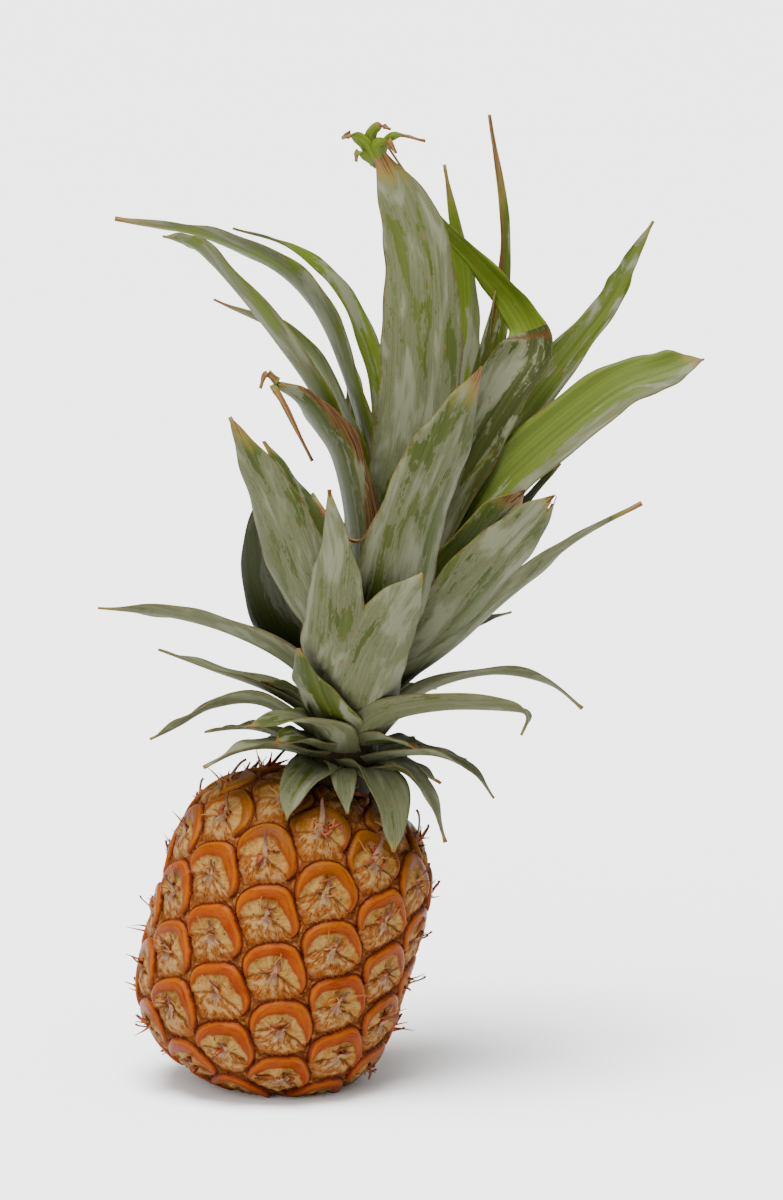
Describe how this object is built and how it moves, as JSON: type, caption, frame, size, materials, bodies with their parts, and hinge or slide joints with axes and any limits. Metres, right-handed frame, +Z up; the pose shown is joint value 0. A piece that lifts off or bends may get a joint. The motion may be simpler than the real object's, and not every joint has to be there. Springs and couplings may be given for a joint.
{
  "type": "pineapple",
  "caption": "Small whole pineapple, leaning a little, with raised scaly eyes on a barrel-shaped fruit and a tall loose crown of narrow channelled leaves.",
  "frame": {"origin": "middle of the flat spot under the fruit that it rests on", "axes": "+Z up from the resting surface, +X the way the fruit and its crown lean, +Y away from the best-seen front"},
  "size_m": [0.2121, 0.1341, 0.3401],
  "materials": {
    "rind": "satin",
    "stalk_fibre": "matte",
    "stem_flesh": "matte",
    "leaf": "satin"
  },
  "bodies": {
    "root": {"fruit": "rind", "cut_stalk": "stalk_fibre", "crown_stem": "stem_flesh", "leaf_top_small": "leaf", "leaf_top_back": "leaf", "leaf_top_folded": "leaf", "leaf_top_narrow": "leaf", "leaf_left_upper": "leaf", "leaf_top_tall": "leaf", "leaf_right_wavy": "leaf", "leaf_left_long": "leaf", "leaf_right_bright": "leaf", "leaf_left_hooked": "leaf", "leaf_left_inner": "leaf", "leaf_left_torn": "leaf", "leaf_right_torn": "leaf", "leaf_front_right": "leaf", "leaf_right_dark": "leaf", "leaf_right_broad": "leaf", "leaf_front_left": "leaf", "leaf_left_dark": "leaf", "leaf_right_slender": "leaf", "leaf_front_short": "leaf", "leaf_left_flat": "leaf", "leaf_front_low": "leaf", "leaf_right_arched": "leaf", "leaf_low_left_back": "leaf", "leaf_low_front_olive": "leaf", "leaf_hooked_right": "leaf", "leaf_low_left_bent": "leaf", "leaf_low_front_left": "leaf", "leaf_low_right_thin": "leaf", "leaf_low_left_short": "leaf", "leaf_low_left_front": "leaf", "leaf_drop_left": "leaf", "leaf_drop_front": "leaf", "leaf_drop_right": "leaf", "leaf_drop_right_edge": "leaf", "leaf_back_01": "leaf", "leaf_back_02": "leaf", "leaf_back_03": "leaf", "leaf_back_04": "leaf", "leaf_back_05": "leaf", "leaf_back_06": "leaf", "leaf_back_07": "leaf", "leaf_back_08": "leaf", "leaf_back_09": "leaf", "leaf_back_10": "leaf", "leaf_back_11": "leaf", "leaf_back_12": "leaf", "leaf_back_13": "leaf", "leaf_collar_1": "leaf", "leaf_collar_2": "leaf", "leaf_collar_3": "leaf", "leaf_collar_4": "leaf", "leaf_collar_5": "leaf", "leaf_collar_6": "leaf", "leaf_collar_7": "leaf", "leaf_collar_8": "leaf"}
  },
  "joints": []
}
